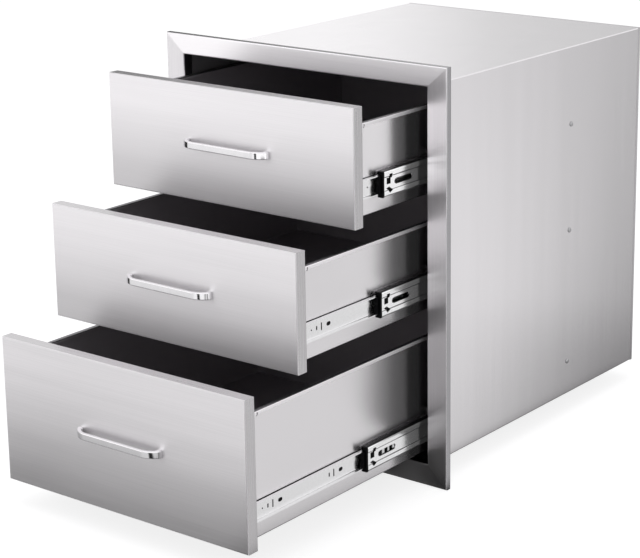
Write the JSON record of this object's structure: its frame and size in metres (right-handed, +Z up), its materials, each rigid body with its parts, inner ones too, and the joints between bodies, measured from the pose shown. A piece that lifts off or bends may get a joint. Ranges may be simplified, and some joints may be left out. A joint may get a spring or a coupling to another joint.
{
  "type": "outdoor kitchen drawer unit",
  "caption": "Built-in stainless steel drawer unit for an outdoor kitchen, with inset fronts on full-extension ball-bearing slides, stored with its drawers part open.",
  "frame": {"origin": "middle of the cut-out's lower front edge: on the underside of the housing, in the plane behind the trim flange", "axes": "+X to the right seen from the front, +Y into the cabinet, +Z up"},
  "size_m": [0.4572, 0.881, 0.5461],
  "materials": {
    "frame_steel": "fine brushed stainless steel sheet",
    "front_steel": "fine brushed stainless steel sheet",
    "tray_steel": "brushed stainless steel sheet",
    "handle_chrome": "polished chrome",
    "slide_zinc": "bright zinc plating",
    "ball_steel": "bright steel strip and balls",
    "fastener_steel": "plain stainless steel",
    "buffer_plastic": "moulded black plastic"
  },
  "bodies": {
    "cabinet": {"trim_frame": "frame_steel", "housing_wrap": "frame_steel", "housing_back": "frame_steel", "upper_slide_left_cabinet_member": "slide_zinc", "upper_slide_left_rivet": "fastener_steel", "upper_slide_right_cabinet_member": "slide_zinc", "upper_slide_right_rivet": "fastener_steel", "centre_slide_left_cabinet_member": "slide_zinc", "centre_slide_left_rivet": "fastener_steel", "centre_slide_right_cabinet_member": "slide_zinc", "centre_slide_right_rivet": "fastener_steel", "lower_slide_left_cabinet_member": "slide_zinc", "lower_slide_left_rivet": "fastener_steel", "lower_slide_right_cabinet_member": "slide_zinc", "lower_slide_right_rivet": "fastener_steel"},
    "upper_drawer": {"upper_drawer_front": "front_steel", "upper_drawer_tray": "tray_steel", "upper_drawer_handle": "handle_chrome", "upper_handle_screw_left": "fastener_steel", "upper_slide_left_drawer_member": "slide_zinc", "upper_handle_screw_right": "fastener_steel", "upper_slide_right_drawer_member": "slide_zinc"},
    "upper_middle_members": {"upper_slide_left_middle_member": "slide_zinc", "upper_slide_left_buffer": "buffer_plastic", "upper_slide_right_middle_member": "slide_zinc", "upper_slide_right_buffer": "buffer_plastic"},
    "upper_outer_ball_strips": {"upper_slide_left_outer_balls": "ball_steel", "upper_slide_right_outer_balls": "ball_steel"},
    "upper_inner_ball_strips": {"upper_slide_left_inner_balls": "ball_steel", "upper_slide_right_inner_balls": "ball_steel"},
    "centre_drawer": {"centre_drawer_front": "front_steel", "centre_drawer_tray": "tray_steel", "centre_drawer_handle": "handle_chrome", "centre_handle_screw_left": "fastener_steel", "centre_slide_left_drawer_member": "slide_zinc", "centre_handle_screw_right": "fastener_steel", "centre_slide_right_drawer_member": "slide_zinc"},
    "centre_middle_members": {"centre_slide_left_middle_member": "slide_zinc", "centre_slide_left_buffer": "buffer_plastic", "centre_slide_right_middle_member": "slide_zinc", "centre_slide_right_buffer": "buffer_plastic"},
    "centre_outer_ball_strips": {"centre_slide_left_outer_balls": "ball_steel", "centre_slide_right_outer_balls": "ball_steel"},
    "centre_inner_ball_strips": {"centre_slide_left_inner_balls": "ball_steel", "centre_slide_right_inner_balls": "ball_steel"},
    "lower_drawer": {"lower_drawer_front": "front_steel", "lower_drawer_tray": "tray_steel", "lower_drawer_handle": "handle_chrome", "lower_handle_screw_left": "fastener_steel", "lower_slide_left_drawer_member": "slide_zinc", "lower_handle_screw_right": "fastener_steel", "lower_slide_right_drawer_member": "slide_zinc"},
    "lower_middle_members": {"lower_slide_left_middle_member": "slide_zinc", "lower_slide_left_buffer": "buffer_plastic", "lower_slide_right_middle_member": "slide_zinc", "lower_slide_right_buffer": "buffer_plastic"},
    "lower_outer_ball_strips": {"lower_slide_left_outer_balls": "ball_steel", "lower_slide_right_outer_balls": "ball_steel"},
    "lower_inner_ball_strips": {"lower_slide_left_inner_balls": "ball_steel", "lower_slide_right_inner_balls": "ball_steel"}
  },
  "joints": [
    {"name": "upper_middle_slide", "type": "slide", "parent": "cabinet", "child": "upper_middle_members", "axis": [0, -1, 0], "range_m": [-0.1235, 0.1015]},
    {"name": "upper_drawer_slide", "type": "slide", "parent": "upper_middle_members", "child": "upper_drawer", "axis": [0, -1, 0], "range_m": [-0.02, 0.205]},
    {"name": "upper_outer_ball_roll", "type": "slide", "parent": "cabinet", "child": "upper_outer_ball_strips", "axis": [0, -1, 0], "range_m": [-0.06175, 0.05075]},
    {"name": "upper_inner_ball_roll", "type": "slide", "parent": "upper_middle_members", "child": "upper_inner_ball_strips", "axis": [0, -1, 0], "range_m": [-0.01, 0.1025]},
    {"name": "centre_middle_slide", "type": "slide", "parent": "cabinet", "child": "centre_middle_members", "axis": [0, -1, 0], "range_m": [-0.13, 0.095]},
    {"name": "centre_drawer_slide", "type": "slide", "parent": "centre_middle_members", "child": "centre_drawer", "axis": [0, -1, 0], "range_m": [-0.1235, 0.1015]},
    {"name": "centre_outer_ball_roll", "type": "slide", "parent": "cabinet", "child": "centre_outer_ball_strips", "axis": [0, -1, 0], "range_m": [-0.065, 0.0475]},
    {"name": "centre_inner_ball_roll", "type": "slide", "parent": "centre_middle_members", "child": "centre_inner_ball_strips", "axis": [0, -1, 0], "range_m": [-0.06175, 0.05075]},
    {"name": "lower_middle_slide", "type": "slide", "parent": "cabinet", "child": "lower_middle_members", "axis": [0, -1, 0], "range_m": [-0.1605, 0.0645]},
    {"name": "lower_drawer_slide", "type": "slide", "parent": "lower_middle_members", "child": "lower_drawer", "axis": [0, -1, 0], "range_m": [-0.188, 0.037]},
    {"name": "lower_outer_ball_roll", "type": "slide", "parent": "cabinet", "child": "lower_outer_ball_strips", "axis": [0, -1, 0], "range_m": [-0.08025, 0.03225]},
    {"name": "lower_inner_ball_roll", "type": "slide", "parent": "lower_middle_members", "child": "lower_inner_ball_strips", "axis": [0, -1, 0], "range_m": [-0.094, 0.0185]}
  ],
  "couplings": [
    {"joint": "upper_outer_ball_roll", "follows": "upper_middle_slide", "ratio": 0.5},
    {"joint": "upper_inner_ball_roll", "follows": "upper_drawer_slide", "ratio": 0.5},
    {"joint": "centre_outer_ball_roll", "follows": "centre_middle_slide", "ratio": 0.5},
    {"joint": "centre_inner_ball_roll", "follows": "centre_drawer_slide", "ratio": 0.5},
    {"joint": "lower_outer_ball_roll", "follows": "lower_middle_slide", "ratio": 0.5},
    {"joint": "lower_inner_ball_roll", "follows": "lower_drawer_slide", "ratio": 0.5}
  ]
}
